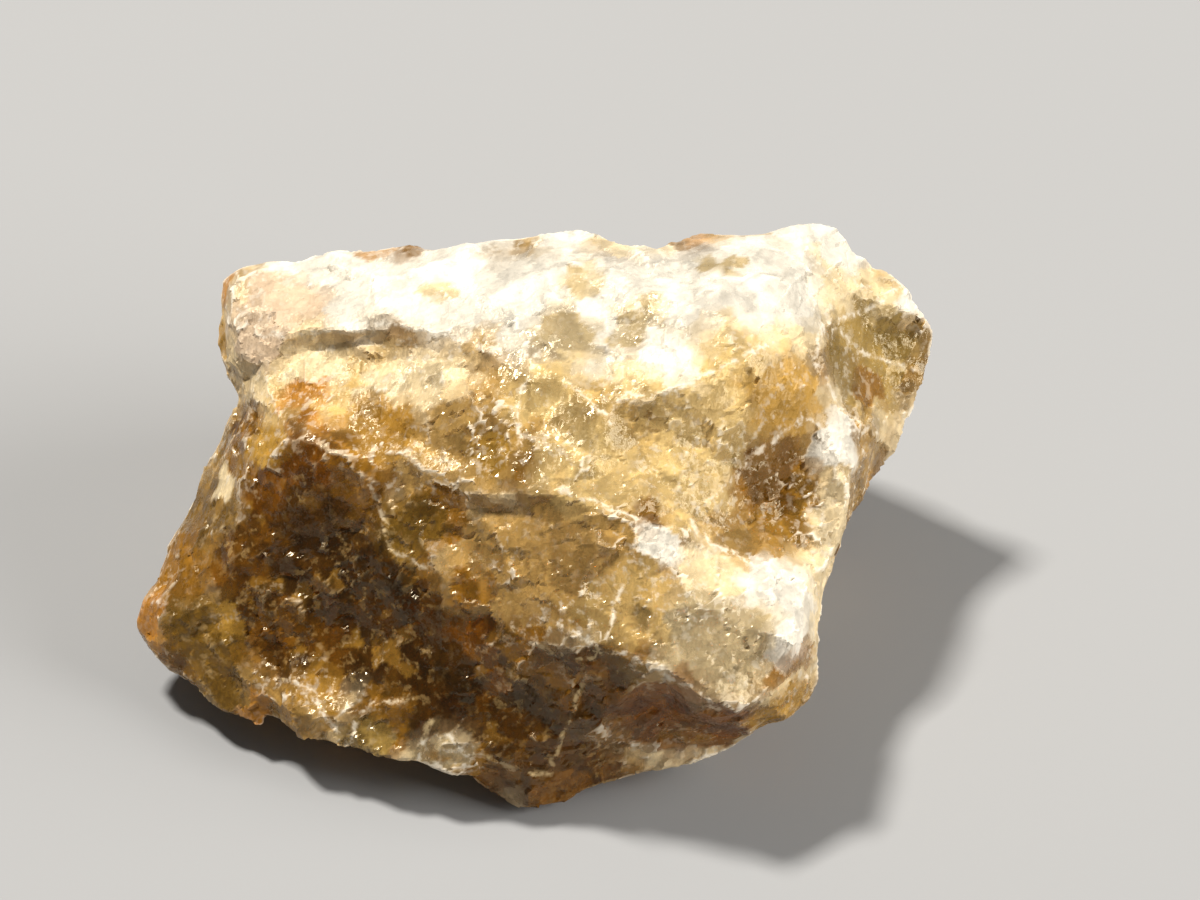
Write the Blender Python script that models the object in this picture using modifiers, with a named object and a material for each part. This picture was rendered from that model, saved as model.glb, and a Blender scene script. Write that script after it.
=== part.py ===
"""A rough herderite crystal: one broken, translucent lump with a flat cleavage face under it.

The lump lies with its broad face leaning back. A landmark on it is (across, up, height) in mm:
across and up are measured in the leaning face, and height is above the surface it lies on.
Landmarks in a row follow a crest, a rim or the foot of a step. The skin between them is
triangulated, then broken into small flat chips, as the crystal cleaves.
"""
import math

import bmesh
import bpy
import numpy as np
from mathutils import Vector, kdtree
from mathutils.geometry import delaunay_2d_cdt

MM = 0.001
LEAN = math.radians(45)         # how far the broad face leans back from upright
SHOULDER = 0.8                  # mm, how blunt the edge of the leaning face is
SKIN_GRAIN = 0.25 * MM          # grid on which the chips are cut
FINE_GRAIN = 0.20 * MM          # grid on which the cut chips are joined again
AIM_TRIANGLES = 8900
CLEAVED = 0.40 * MM             # how much the flat cleavage face underneath takes off
TRIMMED = 0.04 * MM             # and what is trimmed to make that face exactly level
SEED = 7
ROUGH_CHIP = 1.9 * MM           # the usual distance between the middles of two chips
SMOOTH_CHIP = 3.6 * MM          # the same, on the smooth faces
CHIP_SPREAD = 0.50              # chips are up to this power of e smaller or larger than usual
CHIP_TRIES = 12000
CORNER_REACH = 5.0 * MM         # how far apart two places count as when their faces are square on
CHIP_RISE = 0.18 * MM           # how far a chip's turn lifts its edge
CHIP_STEP = 0.08 * MM           # how far a chip stands off the surface
CHIP_FLATNESS = 0.9             # 1 is a perfectly flat chip
HERDERITE = (0.62, 0.43, 0.19)  # honey brown
HERDERITE_IOR = 1.6

# (landmark, reach in mm) of the smooth faces, where the chips are larger.
SMOOTH_SPOTS = (
    ((-10.5, 13.0, 19.6), 3.4), ((-4.5, 12.6, 20.8), 3.4), ((10.0, 5.0, 18.5), 4.5),
    ((10.5, -8.2, 11.6), 3.0), ((3.0, -3.5, 14.2), 3.4), ((-1.0, -10.5, 8.2), 3.8),
    ((13.4, -5.2, 12.3), 2.6), ((18.8, 8.6, 15.0), 2.6), ((-13.6, 1.8, 14.5), 3.4),
)

# The edge of the leaning face, clockwise from the rusty tip at its upper left.
TOP_EDGE = (
    (-18.6, 13.6, 17.6), (-17.3, 13.9, 18.2), (-15.3, 14.4, 18.6), (-11.9, 14.9, 19.0),
    (-8.3, 15.1, 19.4), (-6.7, 15.4, 19.6), (-6.1, 15.0, 19.8), (-2.4, 15.6, 20.3),
    (0.0, 15.9, 20.5), (1.6, 16.3, 20.4), (3.0, 16.1, 20.2), (4.9, 15.4, 20.4),
    (6.7, 15.0, 20.6), (8.0, 15.7, 20.4), (9.8, 16.3, 20.2), (11.1, 15.8, 20.4),
    (13.3, 16.1, 20.2), (15.9, 16.6, 19.6), (17.0, 16.4, 19.2),
)
RIGHT_EDGE = (
    (17.9, 15.8, 18.6), (18.9, 14.4, 18.2), (19.8, 14.2, 17.6), (21.1, 13.1, 16.8),
    (21.8, 12.2, 16.0), (22.9, 10.9, 14.8), (23.0, 10.0, 14.0), (22.9, 9.0, 13.2),
    (22.4, 7.4, 12.2), (21.3, 5.1, 10.8), (20.6, 3.0, 9.6), (19.9, 2.1, 9.2),
    (19.3, 1.9, 9.2), (18.7, 0.3, 8.6), (18.1, -0.4, 8.2), (17.1, -3.1, 7.6),
    (16.6, -4.7, 7.4), (16.3, -6.2, 7.6), (16.2, -7.6, 7.8), (16.0, -8.4, 7.4),
    (16.4, -9.1, 7.0), (15.6, -11.0, 5.8),
)
BOTTOM_EDGE = (
    (15.0, -11.2, 5.6), (14.4, -11.9, 5.2), (12.9, -12.2, 4.6), (12.1, -13.0, 3.8),
    (10.4, -14.0, 2.8), (9.9, -14.5, 2.4), (7.0, -15.0, 1.8), (4.0, -15.6, 1.3),
    (2.9, -16.1, 1.0), (1.0, -16.7, 0.8), (0.0, -17.0, 0.8), (-1.2, -16.8, 0.8),
    (-2.1, -16.4, 1.0), (-3.3, -15.5, 1.5), (-3.7, -14.9, 2.2), (-4.1, -15.5, 3.0),
    (-5.0, -15.1, 3.1), (-6.6, -14.4, 3.3), (-7.4, -14.6, 3.2), (-8.9, -14.3, 3.3),
    (-10.6, -13.4, 3.3), (-11.8, -13.2, 3.2), (-12.6, -13.4, 3.1), (-13.6, -12.9, 3.1),
    (-14.4, -12.1, 3.2), (-15.2, -11.3, 3.1), (-15.4, -12.3, 2.4), (-15.9, -12.9, 2.0),
    (-17.1, -11.9, 2.2), (-19.0, -11.0, 2.4), (-19.4, -10.2, 2.6), (-20.4, -9.1, 3.0),
    (-21.0, -9.2, 3.0),
)
LEFT_EDGE = (
    (-22.2, -7.9, 3.4), (-23.0, -6.4, 4.2), (-22.5, -5.0, 5.2), (-21.9, -4.5, 5.6),
    (-21.5, -3.3, 6.0), (-21.3, -2.3, 6.6), (-20.3, -0.7, 7.8), (-19.9, 0.3, 8.4),
    (-18.9, 2.4, 9.8), (-18.3, 3.4, 10.6), (-17.4, 5.6, 12.2), (-17.1, 6.4, 13.0),
    (-17.2, 6.9, 13.2), (-17.9, 7.9, 13.8), (-18.3, 9.9, 15.0), (-18.1, 12.1, 16.6),
    (-18.5, 13.1, 17.2),
)

# What the leaning face shows: each row is one crest, rim, step foot or hollow.
FACE_ROWS = {
    "plate_corner": ((-17.1, 13.2, 18.8), (-16.9, 11.0, 18.2), (-16.6, 9.2, 17.4)),
    "plate_rim": ((-16.2, 8.8, 17.4), (-14.0, 9.9, 18.6), (-11.6, 10.4, 19.6), (-8.3, 10.6, 20.4),
                  (-5.1, 9.8, 20.6), (-2.5, 8.9, 20.8), (-0.2, 8.4, 21.0)),
    "plate_foot": ((-15.6, 8.4, 16.6), (-13.6, 9.1, 17.4), (-10.7, 9.3, 18.1), (-7.6, 9.1, 18.9),
                   (-5.2, 8.7, 19.6), (-2.8, 8.2, 20.2)),
    "plate_back": ((-13.0, 12.6, 19.0), (-7.0, 12.6, 20.4), (-2.0, 12.4, 21.2)),
    "cream_crest": ((-16.7, 7.2, 14.8), (-15.0, 6.6, 16.4), (-12.6, 7.2, 17.2), (-9.4, 6.8, 17.8)),
    "cream_foot": ((-16.0, 5.9, 15.2), (-14.4, 5.2, 16.2), (-12.6, 4.8, 16.9), (-11.0, 5.3, 17.1),
                   (-9.0, 5.5, 17.3), (-7.7, 4.7, 17.2)),
    "cleft": ((-16.6, 5.5, 13.4), (-16.1, 5.1, 13.8)),
    "amber_crest": ((-15.5, 4.3, 15.2), (-13.8, 4.2, 16.6), (-12.2, 3.5, 16.9), (-10.8, 2.8, 16.8),
                    (-9.3, 1.3, 16.1)),
    "amber_foot": ((-16.4, 0.4, 12.4), (-14.2, -1.2, 12.0), (-12.0, -1.7, 12.0), (-9.9, -1.5, 12.6)),
    "sugar_crest": ((-9.2, 3.3, 17.0), (-7.8, 3.5, 17.4), (-5.2, 2.0, 17.2), (-3.8, 0.9, 16.8)),
    "sugar_foot": ((-8.6, 1.6, 15.9), (-6.6, 1.3, 15.7), (-4.9, 0.6, 15.5), (-4.0, 0.2, 15.5)),
    "tongue": ((-9.6, -0.3, 13.6), (-8.3, -1.7, 13.4), (-7.4, -2.7, 12.8), (-6.5, -3.1, 12.3),
               (-6.0, -2.2, 13.6)),
    "brown_rim": ((-7.0, 4.1, 17.4), (-6.0, 5.3, 18.6), (-4.0, 5.7, 19.4), (-2.5, 6.5, 20.0),
                  (-1.1, 5.7, 20.0)),
    "brown_hollow": ((-5.6, 3.7, 17.6), (-3.8, 3.2, 17.8), (-2.6, 2.2, 17.6)),
    "middle_edge": ((0.0, 8.0, 20.6), (-0.6, 6.1, 19.6), (-0.8, 4.0, 18.8), (-1.6, 2.2, 18.0)),
    "spark_foot": ((0.6, 7.7, 20.8), (3.0, 6.4, 20.4), (4.1, 5.3, 20.0), (4.8, 6.4, 20.4),
                   (7.3, 6.5, 20.6), (9.4, 7.4, 20.9), (11.0, 8.3, 21.0), (12.6, 8.8, 20.8),
                   (14.4, 9.8, 20.4)),
    "spark_back": ((-2.2, 10.6, 21.3), (0.4, 12.8, 21.6), (3.0, 14.0, 21.4), (6.0, 12.6, 21.9),
                   (9.0, 12.0, 22.0), (12.0, 13.0, 21.6), (15.0, 13.4, 20.6)),
    "spark_dip": ((3.4, 10.6, 21.2), (5.6, 9.6, 21.0), (8.0, 9.6, 21.6), (11.0, 10.6, 21.8)),
    "scoop_rim": ((18.2, 12.6, 18.2), (17.0, 11.1, 18.4), (16.3, 10.2, 18.9), (16.1, 8.8, 18.6),
                  (16.5, 7.4, 17.6), (17.5, 5.8, 15.6), (18.8, 5.0, 14.2), (20.0, 4.6, 12.0)),
    "scoop_bed": ((19.0, 10.6, 15.9), (17.7, 9.0, 15.6), (18.6, 7.2, 14.2), (20.2, 8.0, 13.6),
                  (21.2, 9.8, 14.6)),
    "scoop_lip": ((19.6, 12.4, 17.2), (21.0, 11.2, 16.2)),
    "gold_face": ((14.4, 7.2, 18.9), (11.4, 6.0, 19.0), (8.2, 4.2, 18.2), (6.0, 3.8, 18.2)),
    "gold_foot": ((15.0, 5.2, 17.0), (13.4, 3.9, 16.4), (11.6, 2.2, 15.8), (10.4, 0.9, 15.6),
                  (8.8, 0.4, 15.9)),
    "ivory_crest": ((16.2, 4.9, 15.8), (17.2, 3.6, 15.0), (17.8, 1.8, 13.4), (17.6, 0.2, 12.2),
                    (16.9, -2.4, 10.4)),
    "ivory_foot": ((19.6, 3.6, 11.2), (18.8, 1.4, 10.2), (18.2, 0.2, 9.4)),
    "bronze_hollow": ((14.4, 2.6, 14.2), (13.2, 0.2, 12.9), (14.6, -1.8, 12.1), (11.2, -1.2, 13.4)),
    "band_top": ((9.2, -1.0, 14.6), (10.4, -2.2, 13.9), (12.2, -2.8, 13.4), (13.7, -3.8, 12.9),
                 (15.2, -4.6, 12.2), (16.2, -5.6, 9.8)),
    "band_foot": ((5.7, -6.6, 12.7), (7.4, -6.5, 12.9), (9.6, -5.5, 13.2), (11.7, -5.8, 13.0),
                  (13.2, -6.6, 12.4), (14.8, -7.3, 11.6)),
    "window": ((5.8, -0.6, 16.6), (7.2, -1.0, 16.2), (8.6, -1.4, 15.6), (7.5, -2.9, 15.0),
               (5.7, -2.1, 15.5)),
    "fibre_edge": ((0.2, 0.4, 17.3), (2.0, 0.6, 17.6), (4.0, 0.0, 17.3), (5.4, -0.3, 16.9)),
    "panel": ((0.9, -0.5, 16.5), (1.2, -3.2, 14.8), (0.8, -5.6, 12.9)),
    "panel_side": ((5.3, -3.9, 14.4), (4.6, -5.0, 13.7), (3.8, -7.5, 12.1)),
    "panel_foot": ((1.6, -6.2, 12.9), (2.8, -6.9, 12.6)),
    "khaki_foot": ((2.2, -8.3, 11.0), (5.2, -8.1, 11.8), (7.2, -8.9, 11.4), (8.9, -9.9, 10.9),
                   (9.9, -10.8, 10.2), (11.2, -11.1, 9.6), (12.7, -10.4, 9.4), (14.4, -9.0, 9.8),
                   (15.1, -8.1, 9.6)),
    "khaki_edge": ((11.1, -6.6, 12.5), (11.0, -9.4, 10.6)),
    "right_toe": ((12.6, -11.6, 6.8), (14.0, -10.9, 7.2), (15.4, -9.9, 7.0)),
    "brown_toe": ((4.2, -11.2, 7.8), (7.2, -11.6, 6.6), (9.6, -12.6, 4.9)),
    "undercut": ((3.2, -14.6, 3.0), (6.4, -14.0, 2.8), (9.0, -13.4, 3.2)),
    "smoky_crest": ((-4.6, -5.2, 11.6), (-2.6, -5.6, 11.7), (-1.4, -6.3, 11.6), (0.2, -7.5, 11.2)),
    "smoky_side": ((2.5, -10.0, 8.8), (1.7, -12.4, 6.0), (1.0, -14.9, 3.2)),
    "smoky_foot": ((-5.4, -12.2, 5.4), (-3.4, -13.9, 4.1), (-1.0, -14.7, 3.5)),
    "smoky_left": ((-4.5, -8.8, 8.3), (-5.5, -11.0, 6.3)),
    "left_crest": ((-16.8, 3.2, 13.6), (-17.0, 1.2, 12.4), (-17.3, -0.8, 11.0), (-16.9, -2.2, 10.4)),
    "left_mid": ((-20.2, -2.4, 8.0), (-20.6, -3.9, 7.2), (-21.4, -6.0, 6.0), (-21.4, -7.8, 4.6)),
    "ochre_step": ((-19.7, -5.7, 6.9), (-18.2, -5.0, 7.8), (-16.6, -3.7, 9.2), (-14.9, -4.0, 9.4)),
    "ochre_foot": ((-19.2, -7.8, 4.9), (-18.2, -8.3, 4.9), (-16.2, -7.6, 6.1), (-14.9, -6.2, 7.6)),
    "murky_ridge": ((-13.0, -3.4, 10.3), (-10.4, -4.4, 10.4), (-7.6, -5.6, 10.2)),
    "murky_foot": ((-14.9, -8.2, 5.4), (-12.2, -8.0, 6.6), (-9.6, -7.4, 7.6), (-6.6, -8.2, 8.2)),
    "chip_crests": ((-15.2, -10.4, 4.4), (-13.7, -9.6, 5.6), (-11.2, -9.8, 5.6), (-9.8, -10.8, 5.6),
                    (-8.2, -10.4, 6.3), (-7.4, -11.4, 5.7)),
    "chip_rims": ((-13.9, -11.3, 4.9), (-12.6, -11.8, 4.7), (-11.3, -12.0, 4.6), (-10.5, -13.0, 3.7),
                  (-9.1, -12.5, 4.4), (-7.8, -12.4, 4.6), (-6.7, -13.0, 4.2)),
}

# The far side and the underside: their heights follow the same rule.
HIDDEN_ROWS = {
    "left_brow": ((-15.4, 12.4, 13.4), (-12.6, 13.6, 14.6), (-8.0, 13.7, 12.6), (-2.0, 14.6, 14.6)),
    "left_wall": ((-14.6, 7.0, 6.4), (-8.0, 10.6, 7.4), (-3.0, 7.4, 3.0)),
    "step_crest": ((-1.4, 14.1, 13.4), (1.5, 12.2, 9.0), (2.6, 8.8, 4.6), (3.0, 6.0, 1.2)),
    "step_foot": ((2.4, 12.6, 13.2), (3.4, 10.5, 8.8), (4.6, 7.2, 4.4), (4.8, 4.6, 1.4)),
    "right_brow": ((3.6, 14.0, 16.0), (9.4, 14.2, 14.4), (15.0, 13.0, 13.0)),
    "right_wall": ((8.6, 10.4, 8.2), (13.0, 8.6, 7.0), (16.0, 6.4, 5.2), (19.4, 7.4, 8.2)),
    "right_heel": ((17.2, 2.2, 4.4), (15.6, -0.8, 2.2), (14.8, -5.0, 2.8)),
    "left_heel": ((-18.6, -1.0, 4.0), (-18.2, -3.4, 1.8), (-19.8, -6.2, 2.2)),
    "base_rim": ((-14.6, 0.4, 0.0), (-16.4, -5.0, 0.0), (-12.6, -10.0, 0.0), (-3.6, -13.6, 0.0),
                 (0.6, -16.0, 0.0), (6.6, -13.6, 0.0), (10.6, -9.8, 0.0), (12.4, -4.4, 0.0),
                 (11.2, 1.4, 0.0), (5.6, 3.0, 0.0), (3.4, 4.4, 0.0), (-3.4, 4.0, 0.0),
                 (-9.6, 2.4, 0.0)),
}


def leaning(across, up, height):
    """A landmark's place, in metres."""
    y = (up - height * math.sin(LEAN)) / math.cos(LEAN)
    return Vector((across, y, height)) * MM


def skin(outline, rows):
    """(landmarks, triangles) of the surface inside the outline through every row of landmarks."""
    landmarks = list(outline)
    edges = [(i, (i + 1) % len(outline)) for i in range(len(outline))]
    for row in rows:
        first = len(landmarks)
        landmarks += row
        edges += [(first + i, first + i + 1) for i in range(len(row) - 1)]
    flat = [Vector(mark[:2]) for mark in landmarks]
    found = delaunay_2d_cdt(flat, edges, [], 1, 1e-6)
    points, triangles, origins = found[0], found[2], found[3]
    if len(points) != len(landmarks) or not all(origins):
        strays = [tuple(round(x, 1) for x in p) for p, o in zip(points, origins) if not o]
        raise ValueError(f"rows of landmarks cross or meet at {strays}")
    return landmarks, [[origins[i][0] for i in triangle] for triangle in triangles]


def shoulder(outline):
    """Landmarks just behind the edge, so that it is blunt: set in, and farther from the front."""
    marks = []
    for (a0, b0, h0), (a1, b1, h1) in zip(outline, outline[1:] + outline[:1]):
        length = math.hypot(a1 - a0, b1 - b0)
        inward = (b1 - b0) / length, (a0 - a1) / length
        mark = ((a0 + a1) / 2 + SHOULDER * inward[0], (b0 + b1) / 2 + SHOULDER * inward[1],
                max(0.0, (h0 + h1) / 2 - SHOULDER))
        if all(math.dist(mark[:2], other[:2]) > SHOULDER for other in marks):
            marks.append(mark)
    return marks


def lump():
    """The closed lump: the leaning face in front, the far side and the underside behind it."""
    outline = TOP_EDGE + RIGHT_EDGE + BOTTOM_EDGE + LEFT_EDGE
    front, front_triangles = skin(outline, FACE_ROWS.values())
    back_rows = [*HIDDEN_ROWS.values(), *((mark,) for mark in shoulder(outline))]
    back, back_triangles = skin(outline, back_rows)
    corners = [{frozenset(t) for t in triangles if max(t) < len(outline)}
               for triangles in (front_triangles, back_triangles)]
    without_thickness = corners[0] & corners[1]
    mesh = bmesh.new()
    seen = [mesh.verts.new(leaning(*mark)) for mark in front]
    hidden = seen[:len(outline)] + [mesh.verts.new(leaning(*mark)) for mark in back[len(outline):]]
    for triangle in front_triangles:
        if frozenset(triangle) not in without_thickness:
            mesh.faces.new([seen[i] for i in triangle])
    for triangle in back_triangles:
        if frozenset(triangle) not in without_thickness:
            mesh.faces.new([hidden[i] for i in reversed(triangle)])
    bmesh.ops.recalc_face_normals(mesh, faces=mesh.faces)
    data = bpy.data.meshes.new("lump")
    mesh.to_mesh(data)
    mesh.free()
    return data


def with_modifier(data, kind, **settings):
    """The mesh after one modifier."""
    scratch = bpy.data.objects.new("scratch", data)
    bpy.context.scene.collection.objects.link(scratch)
    modifier = scratch.modifiers.new(kind.lower(), kind)
    for name, value in settings.items():
        setattr(modifier, name, value)
    graph = bpy.context.evaluated_depsgraph_get()
    made = bpy.data.meshes.new_from_object(scratch.evaluated_get(graph))
    bpy.data.objects.remove(scratch)
    bpy.data.meshes.remove(data)
    return made


def vertex_arrays(data):
    """(places, normals) of the mesh's vertices, as arrays of rows."""
    places = np.empty(len(data.vertices) * 3)
    normals = np.empty(len(data.vertices) * 3)
    data.vertices.foreach_get("co", places)
    data.vertex_normals.foreach_get("vector", normals)
    return places.reshape(-1, 3), normals.reshape(-1, 3)


def chip_places(places, normals):
    """(which chip each vertex is in, each chip's size). No chip turns a sharp corner."""
    draw = np.random.default_rng(SEED)
    usual = np.full(len(places), ROUGH_CHIP)
    for landmark, reach in SMOOTH_SPOTS:
        far = np.linalg.norm(places - np.array(leaning(*landmark)), axis=1)
        usual[far < reach * MM] = SMOOTH_CHIP
    where = np.hstack([places, normals * CORNER_REACH])
    seeds = np.empty((0, 6))
    sizes = np.empty(0)
    for i in draw.permutation(len(places))[:CHIP_TRIES]:
        size = usual[i] * math.exp(draw.uniform(-CHIP_SPREAD, CHIP_SPREAD))
        room = np.linalg.norm(seeds - where[i], axis=1)
        if (room > (size + sizes) / 2).all():
            seeds = np.vstack([seeds, where[i]])
            sizes = np.append(sizes, size)
    nearest = np.empty(len(places), dtype=int)
    for part in np.array_split(np.arange(len(places)), 100):
        gaps = np.linalg.norm(where[part, None] - seeds[None], axis=2)
        nearest[part] = (gaps / sizes).argmin(axis=1)
    return nearest, sizes


def chip_away(data):
    """Break the skin into flat chips: each turns a little from the surface and stands off it."""
    draw = np.random.default_rng(SEED + 1)
    places, normals = vertex_arrays(data)
    chips, sizes = chip_places(places, normals)
    for chip, size in enumerate(sizes):
        inside = chips == chip
        if inside.sum() < 3:
            continue
        middle = places[inside].mean(axis=0)
        facing = normals[inside].mean(axis=0)
        facing /= np.linalg.norm(facing)
        turned = facing + draw.normal(0, CHIP_RISE / size, 3)
        turned /= np.linalg.norm(turned)
        off = (places[inside] - middle) @ turned - draw.normal(0, CHIP_STEP)
        places[inside] -= CHIP_FLATNESS * off[:, None] * turned
    places[:, 2] = np.maximum(places[:, 2], places[:, 2].min() + CLEAVED)
    data.vertices.foreach_set("co", places.ravel())
    data.update()
    return data


def flat_underneath(data):
    """Cut the crystal level underneath, and put the middle of its box's floor at the origin."""
    mesh = bmesh.new()
    mesh.from_mesh(data)
    everything = mesh.verts[:] + mesh.edges[:] + mesh.faces[:]
    lowest = min(v.co.z for v in mesh.verts)
    cut = bmesh.ops.bisect_plane(mesh, geom=everything, plane_co=(0, 0, lowest + TRIMMED),
                                 plane_no=(0, 0, -1), clear_outer=True)
    rim = [piece for piece in cut["geom_cut"] if isinstance(piece, bmesh.types.BMEdge)]
    bmesh.ops.triangle_fill(mesh, use_beauty=True, edges=rim)
    bmesh.ops.recalc_face_normals(mesh, faces=mesh.faces)
    low = Vector([min(v.co[axis] for v in mesh.verts) for axis in range(3)])
    high = Vector([max(v.co[axis] for v in mesh.verts) for axis in range(3)])
    middle = (low + high) / 2
    bmesh.ops.translate(mesh, verts=mesh.verts, vec=(-middle.x, -middle.y, -low.z))
    mesh.to_mesh(data)
    mesh.free()
    return data


def herderite():
    """The crystal's honey-brown material."""
    material = bpy.data.materials.new("herderite")
    material.use_nodes = True
    shader = material.node_tree.nodes["Principled BSDF"]
    shader.inputs["Base Color"].default_value = (*HERDERITE, 1)
    shader.inputs["Roughness"].default_value = 0.3
    shader.inputs["IOR"].default_value = HERDERITE_IOR
    return material


def main():
    for old in list(bpy.data.objects):
        bpy.data.objects.remove(old)
    data = with_modifier(lump(), "REMESH", mode="VOXEL", voxel_size=SKIN_GRAIN)
    data = chip_away(data)
    data = with_modifier(data, "REMESH", mode="VOXEL", voxel_size=FINE_GRAIN)
    data = with_modifier(data, "TRIANGULATE")
    data = with_modifier(data, "DECIMATE", ratio=AIM_TRIANGLES / len(data.polygons))
    data = flat_underneath(data)
    data.name = "herderite_crystal"
    crystal = bpy.data.objects.new("herderite_crystal", data)
    data.materials.clear()
    data.materials.append(herderite())
    specimen = bpy.data.collections.new("herderite_crystal")
    bpy.context.scene.collection.children.link(specimen)
    specimen.objects.link(crystal)


main()
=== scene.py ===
"""The look of the rough herderite crystal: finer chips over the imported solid, a cloudy honey-brown
glass with white veils and rust, and a plain pale studio."""

import math

import bmesh
import bpy
import numpy as np
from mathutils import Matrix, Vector
from mathutils.bvhtree import BVHTree
from mathutils.kdtree import KDTree
from mathutils.noise import noise

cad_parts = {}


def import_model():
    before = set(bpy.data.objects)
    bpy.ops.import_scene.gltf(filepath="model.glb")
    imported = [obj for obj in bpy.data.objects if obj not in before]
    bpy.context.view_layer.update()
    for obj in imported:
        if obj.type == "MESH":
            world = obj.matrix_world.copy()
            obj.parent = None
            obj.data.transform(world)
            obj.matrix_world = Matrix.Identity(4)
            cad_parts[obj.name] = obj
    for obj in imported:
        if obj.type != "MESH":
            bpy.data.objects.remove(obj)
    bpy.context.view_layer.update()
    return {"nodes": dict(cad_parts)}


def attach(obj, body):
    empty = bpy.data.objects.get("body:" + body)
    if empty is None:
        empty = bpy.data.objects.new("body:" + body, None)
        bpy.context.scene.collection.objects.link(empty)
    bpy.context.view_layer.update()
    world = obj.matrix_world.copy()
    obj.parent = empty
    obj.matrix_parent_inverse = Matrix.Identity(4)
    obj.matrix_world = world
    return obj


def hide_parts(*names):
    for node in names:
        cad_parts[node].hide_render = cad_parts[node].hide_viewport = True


MM = 0.001
NODE = "herderite_crystal"
SEED = 11

# The crystal's broad face leans back. A landmark on it is (across, up, height) in mm, as in the
# solid: across and up in the leaning face, height above the floor.
LEAN = math.radians(45)
LEAN_TO_ROW = Vector((0.04, 8.53, 0.0))

SAME_CORNER = 0.002 * MM        # corners of the solid that lie nearer than this are one
SKIN_GRAIN = 0.235 * MM         # size of the squares of the finer skin
CHIP = 0.80 * MM                # usual size of a small chip
CHIP_RISE = 0.075 * MM          # how far a small chip's turn lifts its edge
CHIP_STEP = 0.028 * MM          # how far a small chip stands off

CALM = 5.0 * MM                 # about how far it is from a smooth stretch to a broken one
CORNER_REACH = 0.9 * MM         # how far apart two places count as when their faces are square on
NEIGHBOURS = 6                  # how many near chips a vertex chooses from
SKIN_AREA = 3700 * MM ** 2      # about what the whole skin measures
BASE_KEPT = 0.05 * MM           # the face that the crystal rests on stays as it is below this
RIDGE_SPREAD = 3                # how many squares around a crest is measured over
RIDGE_HEIGHT = 0.10 * MM        # a crest that stands this far off counts as fully sharp

HERDERITE_IOR = 1.6
MIRROR_LEVEL = 0.3              # of the shader's usual 0.5
THROUGH = (0.784, 0.58, 0.024)  # what light turns to as it passes through the stone
THROUGH_DENSITY = 165.0         # per m
MIRRORED = (1.0, 0.87, 0.62)    # what the skin turns a reflection to, face on

FACET_SHUFFLE = (23.0, 17.0, 29.0)  # turns the way a chip faces into its number
BORDER_ON_CHIPS = 0.75          # 1 where a patch's border runs only along the edges of chips
STRAY = ((1.1, 2.4), (0.5, 0.8))  # mm: a patch's border strays this far, in bends this wide
DRIFT_SHIFTS = ((9.3, -1.5, -8.0), (0.0, 0.0, 0.0), (6.3, 0.2, -2.7))  # one a direction
PATCH_CORE = 0.60               # share of a patch's reach that it covers fully
PATCH_END = 1.05                # share of it where the patch ends
CLOUD = 7.0                     # mm, how wide the clouds under the patches are
DEEP_CLOUD = 5.0                # mm, and how wide the darker ones among them
DEEP_SHIFT = (9, 9, 9)
GOLDEN_CHIPS = 0.65             # how golden a few chips are in the glassy stone
GOLDEN_CLOUD = 3.0              # mm, how wide the places with such chips are
BLOTCH = 3.0                    # mm, how wide the clouds of white flecks are
NO_SEAM = 99.0                  # mm, for a place with no seam near

# Sizes in mm of what the material draws.
GRAIN = 1.7                     # soft mottling
SPECK = 0.55                    # white flecks
BLOCK = 0.36                    # flat cleavage blocks
GLINT = 0.14                    # the smallest flats, which glint
BLOCK_TURN = (0.5, 0.7, 0.3)    # radians, how the blocks lie in the stone
BLOCK_BEND = 2.2                # mm, how far the grain bends them

# How strongly the colour varies.
GRAIN_SHADE = (0.64, 1.14)      # from the darkest grain to the lightest
TONE_SHADE = 0.42               # between one small chip and the next
BLOCK_SHADE = 0.26              # between one block and the next
FACET_SHADE = 0.30              # between one large chip and the next
PALE_CALM = 0.50                # how much of this the palest stone goes without
FROST_AND_GLINT_COVER = 0.8               # how much of the tint the whitest frost, and the painted glints on crests in dark stone, hide

BLOCK_TILT = 0.16               # how far a block turns the light
GLINT_TILT = (0.34, 0.22)       # the same for a glint, in cloudy and in clear stone

FLOOR_SIZE = 3.0                # m
FLOOR_GREY = (0.34, 0.34, 0.34)
VIEW_MIDDLE = (3.71, 3.43, 12.0)  # the landmark in the middle of the picture
VIEW_WIDTH = 68.6               # mm across the picture there
CAMERA_AWAY = 600.0             # mm
SENSOR_WIDTH = 36.0             # mm, of the camera

MIDDLE = Vector((0, 0, 10))     # mm, what the lights are turned to

# (name, place in mm, side in mm, watts, colour)
LIGHTS = (
    ("key", (-330, 260, 850), 130, 12.4, (1.0, 0.97, 0.92)),
    ("fill", (680, -120, 360), 500, 7.0, (1.0, 0.98, 0.95)),
)
SURROUND = 0.15                 # how bright the even light from all round is
SURROUND_COLOUR = (1.0, 0.96, 0.90)

# Colours of the stone, linear.
IVORY = (0.83, 0.765, 0.64)
CREAM = (0.86, 0.67, 0.38)
HONEY = (0.82, 0.57, 0.22)
STRAW = (0.74, 0.48, 0.16)
OCHRE = (0.64, 0.35, 0.055)
GOLD = (0.50, 0.255, 0.035)
KHAKI = (0.46, 0.29, 0.07)
TAN = (0.58, 0.345, 0.10)
BRONZE = (0.37, 0.165, 0.014)
OLIVE = (0.25, 0.13, 0.016)
BROWN = (0.19, 0.072, 0.004)
AMBER = (0.31, 0.104, 0.003)
UMBER = (0.090, 0.034, 0.002)
RUST = (0.56, 0.23, 0.022)
GREY = (0.66, 0.50, 0.26)
SHELL = (0.68, 0.50, 0.33)
PINK = (0.56, 0.33, 0.15)

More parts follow.
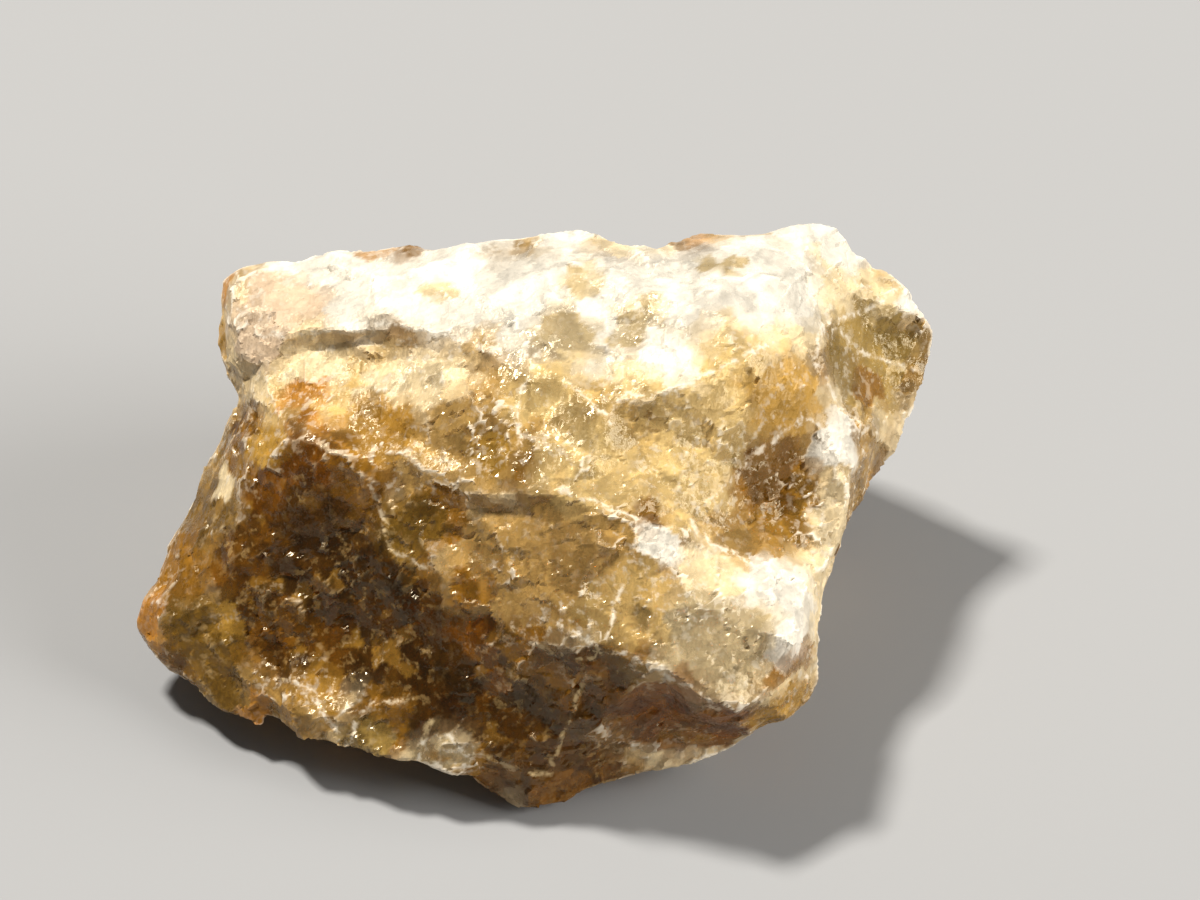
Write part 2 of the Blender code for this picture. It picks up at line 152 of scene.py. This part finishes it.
# (landmark, reach in mm, colour, how glassy): each patch is laid over those before it.
PATCHES = (
    # the top plate and its rim: pale stone, its ivory made whiter as painted light where the light
    # falls on the top, and its grey spots partly painted sheen
    ((-12.0, 12.6, 19.2), 5.5, IVORY, 0.15), ((-5.0, 12.6, 20.5), 5.0, IVORY, 0.15),
    ((-4.0, 15.4, 19.6), 3.0, IVORY, 0.2), ((1.6, 16.0, 20.2), 3.0, IVORY, 0.2),
    ((6.2, 15.2, 20.4), 2.4, CREAM, 0.3), ((14.8, 16.4, 19.8), 2.6, IVORY, 0.2),
    ((9.2, 15.6, 20.2), 1.2, PINK, 0.3), ((12.6, 11.4, 20.2), 2.6, STRAW, 0.4),
    ((9.6, 12.0, 21.2), 2.2, TAN, 0.4), ((14.4, 13.8, 20.0), 2.0, STRAW, 0.35),
    ((-14.8, 11.4, 18.5), 3.8, SHELL, 0.2), ((-9.0, 14.8, 19.0), 2.0, PINK, 0.2),
    ((2.0, 12.0, 21.4), 6.0, IVORY, 0.30), ((8.0, 12.4, 22.0), 6.0, IVORY, 0.30),
    ((13.0, 13.4, 21.0), 5.0, IVORY, 0.30), ((1.6, 9.6, 21.2), 2.6, GREY, 0.45),
    ((6.0, 10.4, 21.4), 2.0, GREY, 0.45), ((2.6, 12.8, 21.0), 1.8, GREY, 0.4),
    ((10.6, 13.6, 21.0), 1.6, GREY, 0.4),
    # the golden face right of the middle: honey stone, lightened as painted light where the light
    # falls on this face
    ((10.0, 5.4, 18.6), 6.2, HONEY, 0.40), ((4.0, 4.6, 19.0), 3.6, STRAW, 0.5),
    ((3.2, 1.6, 17.0), 3.8, HONEY, 0.45), ((8.6, 1.6, 16.6), 3.2, HONEY, 0.45),
    ((14.0, 6.4, 18.2), 3.0, OCHRE, 0.3), ((7.6, 8.6, 20.6), 2.4, IVORY, 0.2),
    # the right end: khaki and bronze stone whose darkness is partly painted shade in its hollow
    ((18.8, 8.6, 15.0), 4.4, KHAKI, 0.5), ((20.0, 11.8, 15.8), 1.8, CREAM, 0.2),
    ((18.2, 6.8, 13.6), 2.0, BRONZE, 0.5),
    # the bronze hollow and the ivory crest beside it
    ((13.8, 1.0, 13.8), 3.8, GOLD, 0.55), ((12.8, 1.8, 14.4), 2.8, BRONZE, 0.6),
    ((17.0, 3.6, 14.4), 2.2, IVORY, 0.2), ((17.2, -0.6, 11.4), 2.6, CREAM, 0.35),
    # the ivory patch at (13.6, -5.0) is a ledge facing up, its white partly painted light
    ((13.6, -5.0, 12.6), 3.8, IVORY, 0.25), ((9.4, -3.4, 14.0), 2.6, CREAM, 0.4),
    # the smoky block and the tan ones left of it
    ((10.0, -8.0, 11.8), 4.4, GREY, 0.5), ((3.0, -3.4, 14.3), 4.6, TAN, 0.55),
    ((5.4, -5.6, 12.9), 3.0, STRAW, 0.55), ((7.0, -1.8, 15.6), 1.8, IVORY, 0.3),
    # the raised lumps at the upper left
    ((-3.6, 3.8, 18.4), 3.8, TAN, 0.5), ((-2.6, 3.2, 18.0), 1.8, OCHRE, 0.5),
    ((-6.6, 6.6, 18.6), 2.4, CREAM, 0.4), ((-12.0, 7.0, 17.4), 4.4, STRAW, 0.3),
    ((-12.6, 8.2, 17.6), 2.6, CREAM, 0.25), ((-8.6, 7.0, 18.2), 2.0, CREAM, 0.3),
    ((-9.0, 4.6, 17.4), 2.8, GOLD, 0.4), ((-13.2, 6.6, 17.0), 1.7, RUST, 0.3),
    ((-12.4, 5.0, 16.9), 1.1, RUST, 0.3), ((-13.6, 1.6, 14.4), 4.2, AMBER, 0.6),
    ((-15.6, 3.6, 14.8), 2.0, OCHRE, 0.4), ((-9.8, 0.8, 15.2), 2.6, BRONZE, 0.5),
    ((-6.5, 2.6, 17.0), 2.2, TAN, 0.4),
    # the dark sunken face, smoky brown stone darkened further as painted shade, and the ledge above
    # it
    ((-14.6, -4.0, 9.4), 5.0, BROWN, 0.6), ((-10.0, -5.0, 9.4), 5.8, UMBER, 0.6),
    ((-12.6, -8.2, 6.4), 3.8, BROWN, 0.6), ((-6.4, -8.4, 8.4), 5.4, UMBER, 0.6),
    ((-2.4, -2.6, 14.6), 4.0, TAN, 0.5), ((-5.6, -0.6, 14.8), 2.4, BRONZE, 0.5),
    ((-7.2, -1.8, 13.2), 1.6, OCHRE, 0.4), ((-3.2, -4.4, 12.4), 1.6, BRONZE, 0.5),
    # the left flank and the tip
    ((-18.6, 0.6, 10.4), 3.0, OLIVE, 0.4), ((-18.0, 2.0, 11.4), 1.4, CREAM, 0.2),
    ((-17.4, -2.6, 9.8), 2.2, BROWN, 0.5), ((-20.4, -3.6, 7.2), 3.0, BRONZE, 0.4),
    ((-18.4, -6.8, 6.0), 2.8, OLIVE, 0.4), ((-17.6, -6.2, 6.6), 1.2, OCHRE, 0.4),
    ((-15.2, -5.0, 8.4), 2.6, BROWN, 0.6), ((-22.2, -6.2, 5.2), 2.0, RUST, 0.4),
    ((-18.6, -10.0, 3.8), 2.4, OLIVE, 0.4),
    # the small blocks along the bottom edge
    ((-15.8, -12.0, 2.6), 1.6, RUST, 0.4), ((-12.6, -11.2, 4.9), 2.6, GOLD, 0.45),
    ((-8.4, -12.2, 4.8), 2.4, BRONZE, 0.5), ((-5.2, -14.0, 3.6), 1.9, GREY, 0.6),
    ((-12.8, -11.8, 4.4), 1.6, TAN, 0.5), ((-9.3, -12.9, 4.2), 1.5, KHAKI, 0.55),
    # the dark foot below the smoky block: smoky brown stone, darkened further as painted shade on
    # its undercut face
    ((-0.6, -10.6, 8.0), 5.2, UMBER, 0.65), ((3.6, -10.6, 8.8), 3.0, BROWN, 0.6),
    ((8.4, -11.8, 6.8), 4.6, AMBER, 0.6), ((13.0, -11.0, 6.6), 2.6, OCHRE, 0.5),
    ((2.0, -15.4, 2.4), 4.2, BROWN, 0.6),
    # the ends of the plate, their ivory partly painted light as on the top, and spots here and there
    ((-5.6, 12.5, 20.6), 1.2, CREAM, 0.3), ((-18.6, 12.8, 17.2), 2.0, RUST, 0.3),
    ((-18.0, 9.6, 15.2), 1.8, OCHRE, 0.3), ((17.6, 15.2, 18.8), 2.4, IVORY, 0.2),
    ((21.6, 12.0, 15.8), 1.8, IVORY, 0.2), ((-7.0, -1.0, 14.2), 2.2, OLIVE, 0.5),
    ((-12.4, 0.2, 13.2), 2.9, UMBER, 0.6), ((10.6, -11.6, 6.4), 2.6, AMBER, 0.65),
    # the amber and bronze spots on the dark face from (-3.2, -7.4) on are lighter stone, partly
    # painted glints
    ((0.4, 6.6, 19.8), 2.4, HONEY, 0.45), ((-3.2, -7.4, 10.2), 1.5, AMBER, 0.7),
    ((-0.4, -7.4, 10.8), 1.5, BRONZE, 0.6), ((0.8, -9.4, 9.2), 1.4, BRONZE, 0.5),
    ((-2.4, -9.8, 8.2), 1.4, AMBER, 0.6), ((-16.5, 5.3, 13.4), 1.1, UMBER, 0.2),
)

# White seams, each a row of (across, up) in the leaning face, in mm.
SEAMS = (
    ((-3.6, -13.9), (-2.3, -14.1), (-1.0, -14.7), (0.0, -15.0), (1.0, -15.1), (1.1, -14.1),
     (1.7, -12.4), (2.3, -10.9), (2.6, -10.1)),
    ((0.6, -6.0), (2.0, -6.6), (3.3, -7.3), (3.9, -7.9), (5.3, -8.0), (7.6, -9.4), (8.9, -9.9),
     (10.0, -10.9)),
    ((4.7, -4.6), (4.4, -6.0), (4.1, -7.1)),
    ((0.0, 8.6), (-0.2, 8.1), (-0.7, 6.3), (-0.9, 5.7), (-0.9, 3.7)),
    ((1.9, 1.1), (3.4, 0.6), (5.6, -0.4), (5.7, -2.0), (7.6, -3.0), (8.6, -1.2), (5.8, -0.7)),
    ((9.4, 0.4), (10.6, 1.0), (11.7, 2.1), (12.1, 2.9), (13.1, 3.6), (14.9, 4.9), (15.0, 5.3),
     (16.3, 4.7), (18.9, 4.4)),
    ((8.7, -0.4), (9.3, -1.4), (10.1, -2.0), (11.7, -2.7), (13.4, -3.4), (15.2, -4.6)),
    ((20.3, 12.3), (18.6, 11.1), (17.4, 11.1), (16.6, 10.6), (16.2, 9.6), (16.1, 8.4),
     (16.6, 7.3), (17.9, 5.3), (19.1, 4.6)),
    ((17.4, 10.1), (18.6, 9.1), (19.7, 8.6), (21.7, 8.0)),
    ((-10.6, -13.3), (-10.0, -11.6), (-9.0, -10.9), (-7.4, -10.7)),
    ((-14.1, -9.6), (-13.1, -10.0), (-11.0, -12.6)),
    ((-6.6, -14.3), (-6.0, -12.3)),
    ((-4.6, -13.1), (-3.6, -14.0), (-4.1, -15.2)),
    ((-15.4, 9.9), (-11.9, 10.2), (-10.0, 10.6), (-8.3, 10.6), (-6.0, 10.1), (-0.9, 8.7)),
    ((-9.1, 1.0), (-8.0, -2.3), (-6.6, -3.1)),
    ((-0.9, -6.7), (0.0, -7.4), (1.1, -8.1), (3.1, -8.2)),
    ((2.0, 7.0), (3.0, 6.4), (4.1, 5.3), (5.1, 6.6), (7.7, 6.6), (10.3, 8.0), (13.1, 9.4)),
)


def leaning(across, up, height):
    """A landmark's place in the row frame, in mm."""
    y = (up - height * math.sin(LEAN)) / math.cos(LEAN)
    return Vector((across, y, height)) + LEAN_TO_ROW


def finer_skin(node):
    """A finer, even skin of small squares over the node's flat chips.

    Its attribute, facet, is a number from 0 to 1 that differs from one flat chip to the next.
    """
    mesh = bmesh.new()
    mesh.from_mesh(node.data)
    bmesh.ops.remove_doubles(mesh, verts=mesh.verts, dist=SAME_CORNER)
    chips = BVHTree.FromBMesh(mesh)
    coarse = bpy.data.meshes.new("coarse")
    mesh.to_mesh(coarse)
    mesh.free()
    scratch = bpy.data.objects.new("scratch", coarse)
    bpy.context.scene.collection.objects.link(scratch)
    remesh = scratch.modifiers.new("remesh", "REMESH")
    remesh.mode = "VOXEL"
    remesh.voxel_size = SKIN_GRAIN
    graph = bpy.context.evaluated_depsgraph_get()
    data = bpy.data.meshes.new_from_object(scratch.evaluated_get(graph))
    bpy.data.objects.remove(scratch)
    bpy.data.meshes.remove(coarse)
    facings = np.empty((len(data.vertices), 3))
    for vertex in data.vertices:
        vertex.co, facings[vertex.index] = chips.find_nearest(vertex.co)[:2]
    facet = 0.5 + 0.5 * np.sin(facings @ np.array(FACET_SHUFFLE))
    note(data, "facet", facet)
    data.name = "crystal"
    return data


def note(data, name, numbers):
    """Keep one number a vertex as an attribute that the material reads."""
    data.attributes.new(name, "FLOAT", "POINT").data.foreach_set("value", numbers)


def vertex_arrays(data):
    """(places, normals) of the mesh's vertices, as arrays of rows."""
    places = np.empty(len(data.vertices) * 3)
    normals = np.empty(len(data.vertices) * 3)
    data.vertices.foreach_get("co", places)
    data.vertex_normals.foreach_get("vector", normals)
    return places.reshape(-1, 3), normals.reshape(-1, 3)


def shared_mean(values, chips, count):
    """The mean of the values over each chip: one row a chip."""
    number = np.maximum(np.bincount(chips, minlength=count), 1)
    sums = [np.bincount(chips, weights=column, minlength=count) for column in values.T]
    return np.stack(sums, axis=1) / number[:, None]


def unit(rows):
    """The rows, each of length one."""
    return rows / np.maximum(np.linalg.norm(rows, axis=1, keepdims=True), 1e-12)


def smooth_step(values, low, high):
    """0 where the values are under low, 1 where they are over high, smooth between."""
    share = np.clip((values - low) / (high - low), 0, 1)
    return share * share * (3 - 2 * share)


def clouds(places, size, shift=(0, 0, 0)):
    """Cloudy noise from -1 to 1 at each place, with lumps about size across."""
    shift = Vector(shift)
    return np.array([noise(Vector(place) / size + shift) for place in places])


def small_chips(data):
    """Break the skin into small flat chips, each with its own number from 0 to 1, tone.

    Returns the middle of each vertex's chip, one row a vertex.
    """
    draw = np.random.default_rng(SEED)
    places, normals = vertex_arrays(data)
    count = int(SKIN_AREA / CHIP ** 2)
    seeds = draw.choice(len(places), count, replace=False)
    tree = KDTree(count)
    for chip, seed in enumerate(seeds):
        tree.insert(places[seed], chip)
    tree.balance()
    near = np.array([[found[1] for found in tree.find_n(place, NEIGHBOURS)] for place in places])
    gaps = np.linalg.norm(places[:, None] - places[seeds][near], axis=2)
    corners = np.linalg.norm(normals[:, None] - normals[seeds][near], axis=2) * CORNER_REACH
    best = np.hypot(gaps, corners).argmin(axis=1)
    chips = near[np.arange(len(places)), best]
    middles = shared_mean(places, chips, count)
    facing = unit(shared_mean(normals, chips, count))
    broken = (0.15 + 0.85 * smooth_step(clouds(middles, CALM), -0.2, 0.3))[:, None]
    turned = unit(facing + broken * draw.normal(0, CHIP_RISE / CHIP, facing.shape))
    steps = broken[:, 0] * draw.normal(0, CHIP_STEP, count)
    off = ((places - middles[chips]) * turned[chips]).sum(axis=1) - steps[chips]
    resting = places[:, 2] < BASE_KEPT
    off[resting] = 0
    places -= off[:, None] * turned[chips]
    places[:, 2] = np.maximum(places[:, 2], 0)
    data.vertices.foreach_set("co", places.ravel())
    data.update()
    tone = draw.random(count)[chips]
    note(data, "tone", tone)
    return middles[chips]


def note_ridges(data):
    """A vertex attribute, ridge: 1 on the sharpest crest, 0.5 on the flat and 0 in a groove."""
    places, normals = vertex_arrays(data)
    ends = np.empty(len(data.edges) * 2, dtype=int)
    data.edges.foreach_get("vertices", ends)
    ends = ends.reshape(-1, 2)
    degree = np.bincount(ends.ravel(), minlength=len(places))[:, None]
    mean = places
    for _ in range(RIDGE_SPREAD):
        total = np.zeros_like(places)
        np.add.at(total, ends[:, 0], mean[ends[:, 1]])
        np.add.at(total, ends[:, 1], mean[ends[:, 0]])
        mean = total / degree
    stands_off = ((places - mean) * normals).sum(axis=1)
    ridge = np.clip(0.5 + 0.5 * stands_off / RIDGE_HEIGHT, 0, 1)
    note(data, "ridge", ridge)


def drift(places, size):
    """A cloudy vector at each place, with lumps about size across: one row a place."""
    return np.stack([clouds(places, size, shift) for shift in DRIFT_SHIFTS], axis=1)


def laid_over(look, share, rgb, glass):
    """The look, rows of (red, green, blue, glassy), with another laid over it by this share."""
    share = share[:, None]
    return look * (1 - share) + np.array((*rgb, glass)) * share


def lay_patches(data, middles):
    """Vertex attributes for the stone's patches, whose borders follow the chips.

    tint is their colour, glassy how clear they are, and blotch a wide, cloudy 0 to 1.
    """
    places = vertex_arrays(data)[0] / MM
    places += BORDER_ON_CHIPS * (middles / MM - places)
    ragged = places
    for far, width in STRAY:
        ragged = ragged + far * drift(places, width)

    # Tan and cream clouds, with bronze ones over them, show wherever no patch lies.
    light = smooth_step(clouds(places, CLOUD), -0.15, 0.25)
    look = laid_over(np.array((*TAN, 0.55)), light, CREAM, 0.25)
    deep = smooth_step(clouds(places, DEEP_CLOUD, DEEP_SHIFT), 0.05, 0.30)
    look = laid_over(look, deep, BRONZE, 0.6)
    for landmark, reach, rgb, glass in PATCHES:
        gap = np.linalg.norm(ragged - np.array(leaning(*landmark)), axis=1)
        share = 1 - smooth_step(gap, PATCH_CORE * reach, PATCH_END * reach)
        look = laid_over(look, share, rgb, glass)

    # In the glassy stone a few chips are golden.
    glassy = look[:, 3]
    tone = np.empty(len(places))
    data.attributes["tone"].data.foreach_get("value", tone)
    near = smooth_step(clouds(places, GOLDEN_CLOUD), -0.05, 0.25)
    golden = smooth_step(tone, 0.72, 0.80) * near
    golden = GOLDEN_CHIPS * golden * smooth_step(glassy, 0.5, 0.6)
    tint = laid_over(look, golden, GOLD, 1.0)
    tint[:, 3] = 1
    note(data, "blotch", 0.5 + 0.5 * clouds(places, BLOTCH))
    note(data, "glassy", glassy)
    data.attributes.new("tint", "FLOAT_COLOR", "POINT").data.foreach_set("color", tint.ravel())


def leaning_back(places):
    """(across, up) in the leaning face, in mm, of places in the row frame in mm: one row each."""
    moved = places - np.array(LEAN_TO_ROW)
    up = moved[:, 1] * math.cos(LEAN) + moved[:, 2] * math.sin(LEAN)
    return np.stack([moved[:, 0], up], axis=1)


def lay_seams(data):
    """Vertex attributes for the white seams: how far the nearest is, and the same signed by side.

    The signed one runs evenly through zero, so a seam thinner than the skin's squares stays crisp.
    """
    places, normals = vertex_arrays(data)
    flat = leaning_back(places / MM)
    gap = np.full(len(flat), NO_SEAM)
    side = np.full(len(flat), NO_SEAM)
    for seam in SEAMS:
        for start, end in zip(seam, seam[1:]):
            start, end = np.array(start), np.array(end)
            run = end - start
            length = np.linalg.norm(run)
            along = np.clip((flat - start) @ run / length ** 2, 0, 1)
            away = flat - start - along[:, None] * run
            far = np.linalg.norm(away, axis=1)
            nearer = far < gap
            gap[nearer] = far[nearer]
            side[nearer] = ((away[:, 0] * run[1] - away[:, 1] * run[0]) / length)[nearer]
    hidden = normals @ np.array((0, -math.cos(LEAN), math.sin(LEAN))) < 0
    gap[hidden] = NO_SEAM
    note(data, "seam_gap", gap)
    note(data, "seam_side", side)


class Graph:
    """A material's nodes, added so that a formula reads in order."""

    def __init__(self, material):
        material.use_nodes = True
        self.tree = material.node_tree
        self.tree.nodes.clear()

    def add(self, kind, inputs=(), **settings):
        """A node with these settings; inputs are sockets or plain values, by name or number."""
        node = self.tree.nodes.new(kind)
        for name, value in settings.items():
            setattr(node, name, value)
        for key, value in dict(inputs).items():
            if isinstance(value, bpy.types.NodeSocket):
                self.tree.links.new(value, node.inputs[key])
            else:
                node.inputs[key].default_value = value
        return node

    def attribute(self, name, output="Fac"):
        """What is noted on the mesh under this name."""
        return self.add("ShaderNodeAttribute", attribute_name=name).outputs[output]

    def math(self, operation, *values):
        """A sum with numbers."""
        return self.add("ShaderNodeMath", enumerate(values), operation=operation).outputs[0]

    def vector(self, operation, *values):
        """A sum with vectors or colours."""
        return self.add("ShaderNodeVectorMath", enumerate(values), operation=operation).outputs[0]

    def scaled(self, vector, factor):
        """The vector made this many times as long."""
        node = self.add("ShaderNodeVectorMath", {0: vector, "Scale": factor}, operation="SCALE")
        return node.outputs[0]

    def triple(self, number):
        """A vector with the number in all three directions."""
        return self.add("ShaderNodeCombineXYZ", {0: number, 1: number, 2: number}).outputs[0]

    def channels(self, colours):
        """The red, green and blue of a colour, as numbers."""
        return self.add("ShaderNodeSeparateColor", {0: colours}).outputs

    def step(self, value, low, high, first=0.0, last=1.0):
        """first where the value is under low, last where it is over high, smooth between."""
        return self.add("ShaderNodeMapRange", enumerate((value, low, high, first, last)),
                        interpolation_type="SMOOTHSTEP").outputs[0]

    def mix(self, share, first, second):
        """Two colours mixed."""
        return self.add("ShaderNodeMix", {0: share, 6: first, 7: second},
                        data_type="RGBA").outputs[2]

    def between(self, share, first, second):
        """Two numbers mixed."""
        return self.add("ShaderNodeMix", {0: share, 2: first, 3: second}).outputs[0]

    def noise(self, where, size, detail, roughness):
        """Cloudy noise, 0 to 1, whose lumps are about size mm across."""
        return self.add("ShaderNodeTexNoise", {
            "Vector": where, "Scale": 1 / size, "Detail": detail,
            "Roughness": roughness}).outputs["Fac"]

    def blocks(self, where, size):
        """A random colour for each small block, size mm across."""
        block = self.vector("SNAP", where, (size, size, size))
        return self.add("ShaderNodeTexWhiteNoise", {"Vector": block}).outputs["Color"]


def colour(rgb):
    """The colour as a socket takes it."""
    return (*rgb, 1.0)


def faceted_normal(graph, tilts):
    """The normal turned by each (random colour of a cell, how strongly) in tilts."""
    normal = graph.add("ShaderNodeNewGeometry").outputs["Normal"]
    for cell, strength in tilts:
        turn = graph.scaled(graph.vector("SUBTRACT", cell, (0.5, 0.5, 0.5)), strength)
        normal = graph.vector("ADD", normal, turn)
    return graph.vector("NORMALIZE", normal)


def cleaved(graph, place, grain):
    """A random colour for each block of the stone, and one for each smaller glint."""
    turned = graph.add("ShaderNodeVectorRotate", {0: place, "Rotation": BLOCK_TURN},
                       rotation_type="EULER_XYZ").outputs[0]
    bent = graph.triple(graph.math("MULTIPLY", grain, BLOCK_BEND))
    turned = graph.vector("ADD", turned, bent)
    return graph.blocks(turned, BLOCK), graph.blocks(turned, GLINT)


def shaded(graph, tint, pale, grain, block):
    """The tint, lighter and darker from grain to grain and chip to chip."""
    shade = graph.math("ADD", graph.step(grain, 0.3, 0.7, *GRAIN_SHADE),
                       graph.math("MULTIPLY_ADD", graph.attribute("tone"), TONE_SHADE, -0.12))
    shade = graph.math("MULTIPLY_ADD", block, BLOCK_SHADE,
                       graph.math("SUBTRACT", shade, BLOCK_SHADE / 2))
    shade = graph.math("MULTIPLY", shade, graph.math(
        "MULTIPLY_ADD", graph.attribute("facet"), FACET_SHADE, 0.88))
    shade = graph.between(graph.math("MULTIPLY", pale, PALE_CALM), shade, 1.0)
    return graph.vector("MULTIPLY", tint, graph.triple(shade))


def white_crests(graph, pale, blotch):
    """1 on the sharpest crests, more often so where the stone is blotchy and pale."""
    crest = graph.math("MULTIPLY", graph.step(graph.attribute("ridge"), 0.58, 0.85),
                       graph.step(blotch, 0.40, 0.58, 0.10, 0.9))
    return graph.math("MULTIPLY", crest, graph.between(pale, 0.5, 1.0))


def white_seams(graph, grain, block, speck):
    """1 along the seams, which waver and break off, and 0 away from them."""
    wobble = graph.math("MULTIPLY_ADD", grain, 1.2,
                        graph.math("SUBTRACT", graph.attribute("seam_side"), 0.6))
    off_seam = graph.math("ADD", graph.math("ABSOLUTE", wobble),
                          graph.math("MULTIPLY", block, 0.10))
    seam = graph.math("MULTIPLY", graph.step(off_seam, 0.05, 0.32, 1.0, 0.0),
                      graph.step(graph.attribute("seam_gap"), 0.45, 0.75, 1.0, 0.0))
    return graph.math("MULTIPLY", seam, graph.step(speck, 0.40, 0.58, 0.10, 0.9))


def roughness(graph, grain, glassy, frost_and_glints):
    """Smooth where the stone is glassy, rough where it is cloudy or frosted."""
    rough = graph.math("ADD", graph.step(grain, 0.3, 0.7, 0.0, 0.14),
                       graph.step(glassy, 0.2, 0.6, 0.36, 0.12))
    return graph.math("MULTIPLY_ADD", frost_and_glints, 0.25, rough)


def clearness(graph, glassy, frost_and_glints):
    """How much light passes through: none through frost, and less through some chips."""
    clear = graph.math("MULTIPLY", glassy, graph.math("SUBTRACT", 1.0, frost_and_glints))
    return graph.math("MULTIPLY", clear, graph.math(
        "MULTIPLY_ADD", graph.attribute("facet"), -0.5, 1.2))


def herderite():
    """Cloudy, veined, honey-brown crystal: glassy where it is dark, frosted where it is pale."""
    material = bpy.data.materials.new("herderite")
    graph = Graph(material)
    place = graph.scaled(graph.add("ShaderNodeTexCoord").outputs["Object"], 1 / MM)
    glassy = graph.attribute("glassy")
    blotch = graph.attribute("blotch")
    grain = graph.noise(place, GRAIN, detail=4.0, roughness=0.66)
    speck = graph.noise(place, SPECK, detail=2.0, roughness=0.6)
    blocks, glints = cleaved(graph, place, grain)
    block = graph.channels(blocks)

    tint = graph.attribute("tint", "Color")
    pale = graph.step(graph.channels(tint)[0], 0.2, 0.5)
    veil = graph.mix(pale, colour(OCHRE), colour(IVORY))
    # In pale stone the crests turn to ivory frost; in dark stone their grey is partly painted glint.
    frost_and_glint_colour = graph.mix(pale, colour(GREY), colour(IVORY))
    fleck = graph.math("MULTIPLY", graph.step(speck, 0.52, 0.68),
                       graph.step(blotch, 0.40, 0.60, 0.15, 0.55))
    frost_and_glints = graph.math("MAXIMUM", white_crests(graph, pale, blotch),
                       white_seams(graph, grain, block[1], speck))
    frost_and_glints = graph.math("MAXIMUM", frost_and_glints, graph.math("MULTIPLY", fleck, 0.5))
    tint = shaded(graph, tint, pale, grain, block[0])
    tint = graph.mix(fleck, tint, graph.mix(0.5, tint, veil))
    tint = graph.mix(graph.math("MULTIPLY", frost_and_glints, FROST_AND_GLINT_COVER), tint, frost_and_glint_colour)

    tilts = ((blocks, BLOCK_TILT), (glints, graph.step(glassy, 0.25, 0.5, *GLINT_TILT)))
    shader = graph.add("ShaderNodeBsdfPrincipled", {
        "Base Color": tint, "Roughness": roughness(graph, grain, glassy, frost_and_glints),
        "IOR": HERDERITE_IOR, "Normal": faceted_normal(graph, tilts),
        "Specular IOR Level": MIRROR_LEVEL, "Specular Tint": colour(MIRRORED),
        "Transmission Weight": clearness(graph, glassy, frost_and_glints)})
    body = graph.add("ShaderNodeVolumeAbsorption", {
        "Color": colour(THROUGH), "Density": THROUGH_DENSITY})
    graph.add("ShaderNodeOutputMaterial", {
        "Surface": shader.outputs[0], "Volume": body.outputs[0]})
    return material


def crystal(node):
    """The crystal as it looks: the CAD node's form with its small chips and its stone."""
    data = finer_skin(node)
    middles = small_chips(data)
    note_ridges(data)
    lay_patches(data, middles)
    lay_seams(data)
    data.materials.clear()
    data.materials.append(herderite())
    piece = bpy.data.objects.new("crystal", data)
    bpy.context.scene.collection.objects.link(piece)
    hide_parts(NODE)
    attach(piece, "root")


def plain_material(name, rgb, rough):
    """One even, dull colour."""
    material = bpy.data.materials.new(name)
    graph = Graph(material)
    shader = graph.add("ShaderNodeBsdfPrincipled", {
        "Base Color": colour(rgb), "Roughness": rough})
    graph.add("ShaderNodeOutputMaterial", {"Surface": shader.outputs[0]})
    return material


def studio_floor():
    """A plain pale floor."""
    mesh = bmesh.new()
    bmesh.ops.create_grid(mesh, x_segments=1, y_segments=1, size=FLOOR_SIZE / 2)
    data = bpy.data.meshes.new("floor")
    mesh.to_mesh(data)
    mesh.free()
    data.materials.append(plain_material("floor", FLOOR_GREY, 0.9))
    floor = bpy.data.objects.new("floor", data)
    bpy.context.scene.collection.objects.link(floor)


def soft_light(name, place, size, watts, tint):
    """A square light at this place in mm, turned to the crystal."""
    data = bpy.data.lights.new(name, "AREA")
    data.size = size * MM
    data.energy = watts
    data.color = tint
    light = bpy.data.objects.new(name, data)
    light.location = Vector(place) * MM
    light.rotation_euler = (MIDDLE * MM - light.location).to_track_quat("-Z", "Y").to_euler()
    bpy.context.scene.collection.objects.link(light)


def studio_lights():
    """A key light high up to the left, a wide fill from the right, and an even pale surround."""
    for light in LIGHTS:
        soft_light(*light)
    world = bpy.data.worlds.new("surround")
    world.use_nodes = True
    background = world.node_tree.nodes["Background"]
    background.inputs["Color"].default_value = colour(SURROUND_COLOUR)
    background.inputs["Strength"].default_value = SURROUND
    world.cycles.sampling_method = "NONE"
    bpy.context.scene.world = world


def camera():
    """A long lens looking down 45 degrees at the leaning face."""
    data = bpy.data.cameras.new("camera")
    data.sensor_width = SENSOR_WIDTH
    data.lens = data.sensor_width * CAMERA_AWAY / VIEW_WIDTH
    data.clip_start = 0.01
    viewer = bpy.data.objects.new("camera", data)
    looking = Vector((0, math.cos(LEAN), -math.sin(LEAN)))
    aim = leaning(*VIEW_MIDDLE)
    viewer.location = (aim - looking * CAMERA_AWAY) * MM
    viewer.rotation_euler = looking.to_track_quat("-Z", "Y").to_euler()
    bpy.context.scene.collection.objects.link(viewer)
    bpy.context.scene.camera = viewer


def short_paths():
    """Few bounces, which a cloudy stone on a plain floor does well with."""
    cycles = bpy.context.scene.cycles
    cycles.use_light_tree = False
    cycles.max_bounces = 5
    cycles.transmission_bounces = 4
    cycles.diffuse_bounces = 1
    cycles.glossy_bounces = 2


def main():
    """The crystal in its studio."""
    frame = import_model()
    crystal(frame["nodes"][NODE])
    studio_floor()
    studio_lights()
    camera()
    short_paths()
    bpy.context.scene.view_settings.view_transform = "Standard"


main()
